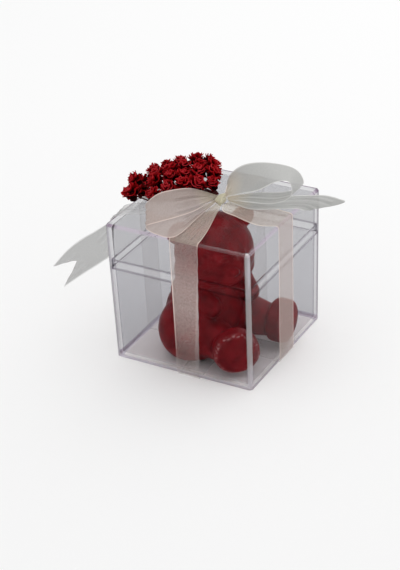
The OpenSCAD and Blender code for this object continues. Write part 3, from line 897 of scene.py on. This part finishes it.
# Balls round the head's middle; those of one side are mirrored on the other
HEAD_AT = Vector((4.1, 0.5, 32.7))
HEAD_TURN = -15
SKULL = ((0, 0, 0), (12.4, 12.8, 12.2))
MUZZLE = ((9.4, 0, -3.4), (4.4, 5.6, 4.4))
MUZZLE_ROOT = ((6, 0, -3), (5, 7, 6))
CHEEK = ((-0.5, 4.6, -5.6), (8.8, 8.6, 6.6))
NOSE = ((13.6, 0, -1.6), (1.4, 2.1, 1.4))
EYE = ((11.1, 4.4, 3), (1.1, 1.2, 1.3))
EAR = ((-1.2, 11.2, 8.3), (2.6, 3.9, 3.7))
EAR_CUP = 0.75  # how deep an ear is hollowed, as a share of its radius
EAR_CUP_SPREAD = 0.3  # how wide the hollow is


def sole_of(foot):
    """Middle of a foot's sole, and the way that it faces."""
    bearing = math.radians(foot[2])
    return Vector((foot[0], foot[1], FOOT_R)), Vector((math.cos(bearing), math.sin(bearing), 0))


def add_leg(bm, hip, hip_r, foot):
    """Leg from the hip to a round foot whose flat sole stands at the place given."""
    sole, toward = sole_of(foot)
    middle = sole - toward * FOOT_DEPTH / 2
    pad = bmesh.new()
    bmesh.ops.create_cone(pad, cap_ends=True, segments=64, radius1=FOOT_R, radius2=FOOT_R, depth=FOOT_DEPTH)
    rims = [edge for edge in pad.edges if abs(edge.verts[0].co.z - edge.verts[1].co.z) < 0.001]
    bmesh.ops.bevel(pad, geom=rims, offset=FOOT_SOFT, segments=5, affect="EDGES", profile=0.5, material=-1)
    stand = Matrix.Translation(middle) @ turned_to(foot[2], "Z") @ turned_to(90, "Y")
    bmesh.ops.transform(pad, matrix=stand, verts=pad.verts)
    join(bm, pad)
    add_limb(bm, hip, hip_r, middle - toward * ANKLE_BACK - Vector((0, 0, ANKLE_DOWN)), ANKLE_R)


def add_ear(bm, at, radii, frame_turn):
    """Ear that is hollowed in front."""
    ear = bmesh.new()
    bmesh.ops.create_uvsphere(ear, u_segments=40, v_segments=28, radius=1.0)
    for vert in ear.verts:
        if vert.co.x > 0:
            vert.co.x -= EAR_CUP * math.exp(-(vert.co.y ** 2 + vert.co.z ** 2) / EAR_CUP_SPREAD)
    stand = frame_turn @ Matrix.Translation(at) @ Matrix.Diagonal((*radii, 1))
    bmesh.ops.transform(ear, verts=ear.verts, matrix=stand)
    join(bm, ear)


def mirrored(at, side):
    """Place on one side of the head, -1 or 1."""
    return (at[0], side * at[1], at[2])


def add_head(bm):
    """Round head with cheeks, a muzzle, a nose, small eyes and cupped ears."""
    turn = Matrix.Translation(HEAD_AT) @ turned_to(HEAD_TURN, "Z")
    for at, radii in (SKULL, MUZZLE, MUZZLE_ROOT, NOSE):
        add_ball(bm, at, radii, turn)
    for side in (-1, 1):
        for at, radii in (CHEEK, EYE):
            add_ball(bm, mirrored(at, side), radii, turn)
        add_ear(bm, mirrored(EAR[0], side), EAR[1], turn)


def sole_rub(point):
    """How rubbed the wax is at a point of the bear, from the rims of its soles."""
    rubbed = 0.0
    for foot in (NEAR_FOOT, FAR_FOOT):
        sole, toward = sole_of(foot)
        apart = point - sole
        ahead = apart.dot(toward)
        round_r = (apart - toward * ahead).length
        far = math.hypot(ahead + RIM_BACK, round_r - FOOT_R + RIM_IN)
        rubbed = max(rubbed, 1 - far / RIM_RUB)
    return rubbed


def make_bear():
    """Sitting bear cast in one piece of wax."""
    bm = bmesh.new()
    for at, radii in (BELLY, CHEST, RUMP):
        add_ball(bm, at, radii)
    for arm in ARMS:
        add_limb(bm, *arm)
    for leg in LEGS:
        add_leg(bm, *leg)
    add_head(bm)
    wax = one_skin(bm, WAX_VOXEL)
    settle(wax, 7)
    rub = wax.verts.layers.float.new("rub")
    for vert in wax.verts:
        vert[rub] = sole_rub(vert.co)
        vert.co.z = max(vert.co.z, FLOOR_GAP)
    stand = Matrix.Translation(BEAR_AT) @ turned_to(BEAR_TURN, "Z")
    bmesh.ops.transform(wax, verts=wax.verts, matrix=stand)
    bmesh.ops.recalc_face_normals(wax, faces=wax.faces)
    finish_piece("wax_bear", wax, make_red_wax(), "bear", ("favor_bear",))


make_bear()


# Dried flowers

FLOWER_NODES = sorted(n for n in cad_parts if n.startswith("flower_") and n != "flower_stems")
BUNCH_ROOT = Vector((-11.4, 1.6, 44.0))  # the heads look away from here
# Colours at the root, where shade is painted, over the face and along the rim
PETAL_RED = make_petal("petal_red", (0.011, 0.0003, 0.0003), (0.31, 0.0025, 0.005), (0.62, 0.05, 0.065))
STALK_RED = make_petal("stalk_red", (0.06, 0.006, 0.006), (0.11, 0.01, 0.01), (0.16, 0.02, 0.02))
# Rings of petals from the outside in: count, height, root radius, length, width, opening from the axis
PETAL_RINGS = (
    (6, -1.1, 0.6, 1.5, 2.6, 1.8),
    (6, -0.6, 0.6, 1.9, 2.7, 1.25),
    (6, 0.0, 0.5, 1.75, 2.2, 0.8),
    (5, 0.4, 0.3, 1.2, 1.4, 0.4))
# How much petals of one ring stray from each other; sines of large steps stand in for chance
TURN_STRAY = 0.12
LENGTH_STRAY = 0.14
WIDTH_STRAY = 0.15
OPEN_STRAY = 0.18
CURL_STRAY = 0.25
PETAL_CURL = -0.15
PETAL_T = 0.2
PETAL_ROUND = 0.14  # how much shorter a petal is at its sides
PETAL_HOLLOW = 0.28  # how far its sides rise, as a share of its width
CUP_LOW_R, CUP_TOP_R, CUP_DEPTH = 0.3, 1.15, 1.6
STAMENS = 5
STAMEN_R = 0.26
STAMEN_OUT, STAMEN_UP = 0.3, 1.1
CUP_REACH, STAMEN_REACH = 0.35, 0.85  # share of a petal's length where its colour is theirs
HEAD_BACK = 1.5  # behind a head's middle, where its petals are painted dark as shade
HEAD_DEPTH = 2.2  # from there to where the painted shade has gone and they are bright
HEAD_NOD = 0.3  # how far a head turns aside from the bunch's spread
HEAD_SIZE = 1.12  # of the heads, against the lengths of the rings above
HEAD_SPREAD = 0.12  # how much the heads differ in size
HEAD_SUNK = 0.1  # into the bunch, from the middle of its node
HEAD_TWIST = 0.9  # radians about its stalk, from one head to the next
STALK_END = 1.6  # from a head's middle back to its stalk


def add_petal(bm, reach_shade_layer, ring_z, root_r, length, width, opened, turn, curl):
    """Stiff cupped petal that starts at root_r from the axis and opens by an angle from it."""
    made = bmesh.ops.create_grid(bm, x_segments=4, y_segments=3, size=0.5)
    for vert in made["verts"]:
        s, u = vert.co.x * 2, vert.co.y + 0.5
        half = width / 2 * (0.5 + 1.1 * u - 0.7 * u * u)
        lean = opened + curl * u
        reach = length * u * (1 - PETAL_ROUND * s * s)
        out = root_r + reach * math.sin(lean)
        up = ring_z + reach * math.cos(lean) + PETAL_HOLLOW * width * s * s
        # Painted shade: the colour's share falls to the dark root colour towards the back of the head
        vert[reach_shade_layer] = u * min(max((up + HEAD_BACK) / HEAD_DEPTH, 0.0), 1.0)
        vert.co = (out, s * half, up)
    bmesh.ops.rotate(bm, verts=made["verts"], cent=(0, 0, 0), matrix=Matrix.Rotation(turn, 3, "Z"))


def add_heart(bm, reach_shade_layer):
    """Cup behind the petals and stamens in their middle."""
    cup = bmesh.ops.create_cone(bm, cap_ends=True, segments=12, radius1=CUP_LOW_R, radius2=CUP_TOP_R,
                                depth=CUP_DEPTH, matrix=Matrix.Translation((0, 0, -CUP_DEPTH / 2)))
    for vert in cup["verts"]:
        vert[reach_shade_layer] = CUP_REACH
    for k in range(STAMENS):
        bearing = TURN * k / STAMENS
        at = (STAMEN_OUT * math.cos(bearing), STAMEN_OUT * math.sin(bearing), STAMEN_UP)
        bud = bmesh.ops.create_icosphere(bm, subdivisions=1, radius=STAMEN_R, matrix=Matrix.Translation(at))
        for vert in bud["verts"]:
            vert[reach_shade_layer] = STAMEN_REACH


def make_flower(index, node):
    """Dried star flower in its node's place; where its stalk ends is returned."""
    low, high = (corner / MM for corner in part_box(node))
    middle = (low + high) / 2
    looks = (middle - BUNCH_ROOT).normalized()
    uneven = math.sin(137 * index)
    bm = bmesh.new()
    reach_shade_layer = bm.verts.layers.float.new("reach")
    for ring, (count, ring_z, root_r, length, width, opened) in enumerate(PETAL_RINGS):
        for k in range(count):
            wild = math.sin(31 * index + 17 * k + 7 * ring)
            turn = TURN * (k + 0.5 * ring + TURN_STRAY * wild) / count
            add_petal(bm, reach_shade_layer, ring_z, root_r, length * (1 + LENGTH_STRAY * wild),
                      width * (1 + WIDTH_STRAY * uneven * wild), opened + OPEN_STRAY * wild,
                      turn, PETAL_CURL + CURL_STRAY * wild)
    bmesh.ops.solidify(bm, geom=bm.faces[:], thickness=PETAL_T)
    add_heart(bm, reach_shade_layer)
    nod = Vector((math.sin(53 * index), math.sin(29 * index + 1), math.sin(83 * index + 2))) * HEAD_NOD
    faces_to = (looks + nod).normalized()
    turned = faces_to.to_track_quat("Z", "Y").to_matrix().to_4x4()
    stand = Matrix.Translation(middle - looks * HEAD_SUNK) @ turned
    size = Matrix.Scale(HEAD_SIZE + HEAD_SPREAD * math.sin(61 * index), 4)
    twist = Matrix.Rotation(HEAD_TWIST * index, 4, "Z")
    bmesh.ops.transform(bm, verts=bm.verts, matrix=stand @ twist @ size)
    finish_piece("dried_" + node, bm, PETAL_RED, "lid", (node,))
    return middle - faces_to * STALK_END


STALK_START = Vector((-0.8, 4.6, 50.9))
STALK_LOW_Z = 50.75  # where the stalks run over the lid
STALK_R = 0.22
STALK_LOW_SHARE = 0.8  # how far out a stalk is where it starts to rise
STALK_ASIDE = Vector((0, 0.8, 0))


def stalk_route(foot):
    """Route of a stalk from the knot to the foot of its head."""
    low = Vector((foot.x * STALK_LOW_SHARE, foot.y * STALK_LOW_SHARE, STALK_LOW_Z)) + STALK_ASIDE
    return (STALK_START, (STALK_START + low) / 2, low, (low + foot) / 2, foot)


def make_stalks(feet):
    """Thin stalks that leave the knot low over the lid and rise under their heads."""
    line = bpy.data.curves.new("dried_stalks", "CURVE")
    line.dimensions = "3D"
    line.bevel_depth = STALK_R
    line.bevel_resolution = 1
    line.resolution_u = 6
    line.use_fill_caps = True
    for foot in feet:
        route = stalk_route(foot)
        spline = line.splines.new("NURBS")
        spline.points.add(len(route) - 1)
        for point, at in zip(spline.points, route):
            point.co = (*at, 1.0)
        spline.use_endpoint_u = True
        spline.order_u = 3
    holder = bpy.data.objects.new("dried_stalks_line", line)
    bpy.context.scene.collection.objects.link(holder)
    evaluated = holder.evaluated_get(bpy.context.evaluated_depsgraph_get())
    bm = bmesh.new()
    bm.from_mesh(evaluated.to_mesh())
    evaluated.to_mesh_clear()
    bpy.data.objects.remove(holder)
    bmesh.ops.remove_doubles(bm, verts=bm.verts, dist=0.001)
    finish_piece("dried_stalks", bm, STALK_RED, "lid", ("flower_stems",))


make_stalks([make_flower(i, node) for i, node in enumerate(FLOWER_NODES)])


# Floor, backdrop and light

# Size of the floor, and how far it lies under the box, in metres
FLOOR_SIZE = 6.0
FLOOR_DROP = 0.0001
FLOOR_WHITE = 0.93
SKY_ON_OBJECT = 0.72
SKY_SEEN = 0.945
LAMPS_LOOK_AT = Vector((0, 0, 25))


def make_floor():
    """White paper that the box stands on."""
    bm = bmesh.new()
    bmesh.ops.create_grid(bm, x_segments=1, y_segments=1, size=FLOOR_SIZE / 2)
    mesh = bpy.data.meshes.new("floor")
    bm.to_mesh(mesh)
    bm.free()
    floor = bpy.data.objects.new("floor", mesh)
    floor.location.z = -FLOOR_DROP
    bpy.context.scene.collection.objects.link(floor)
    material, _, shader = new_material("floor_paper")
    shader.inputs["Base Color"].default_value = rgba(FLOOR_WHITE, FLOOR_WHITE, FLOOR_WHITE)
    shader.inputs["Roughness"].default_value = 1.0
    shader.inputs["Specular IOR Level"].default_value = 0.0
    mesh.materials.append(material)


def make_sky():
    """White room: a little brighter where it is seen than where it lights the object."""
    world = bpy.data.worlds.new("studio")
    bpy.context.scene.world = world
    world.use_nodes = True
    tree = world.node_tree
    tree.nodes.clear()
    rays = tree.nodes.new("ShaderNodeLightPath").outputs
    in_plastic = larger(tree, rays["Is Glossy Ray"], rays["Is Transmission Ray"])
    seen = larger(tree, rays["Is Camera Ray"], in_plastic)
    level = remap(tree, seen, 0.0, 1.0, SKY_ON_OBJECT, SKY_SEEN)
    sky = add_node(tree, "ShaderNodeBackground", Color=rgba(1, 1, 1), Strength=level)
    out = tree.nodes.new("ShaderNodeOutputWorld")
    tree.links.new(sky.outputs[0], out.inputs[0])


def make_lamp(name, at, size, power):
    """Square softbox at a place in millimetres; its size is in metres and its power in watts."""
    light = bpy.data.lights.new(name, "AREA")
    light.shape = "SQUARE"
    light.size = size
    light.energy = power
    lamp = bpy.data.objects.new(name, light)
    lamp.location = Vector(at) * MM
    lamp.rotation_euler = (Vector(at) - LAMPS_LOOK_AT).to_track_quat("Z", "Y").to_euler()
    bpy.context.scene.collection.objects.link(lamp)


make_floor()
make_sky()
make_lamp("softbox_high", (20, 60, 1000), size=1.0, power=2.9)
make_lamp("softbox_behind", (0, 700, 700), size=0.8, power=1.45)
make_camera()
bpy.context.scene.view_settings.view_transform = "Standard"
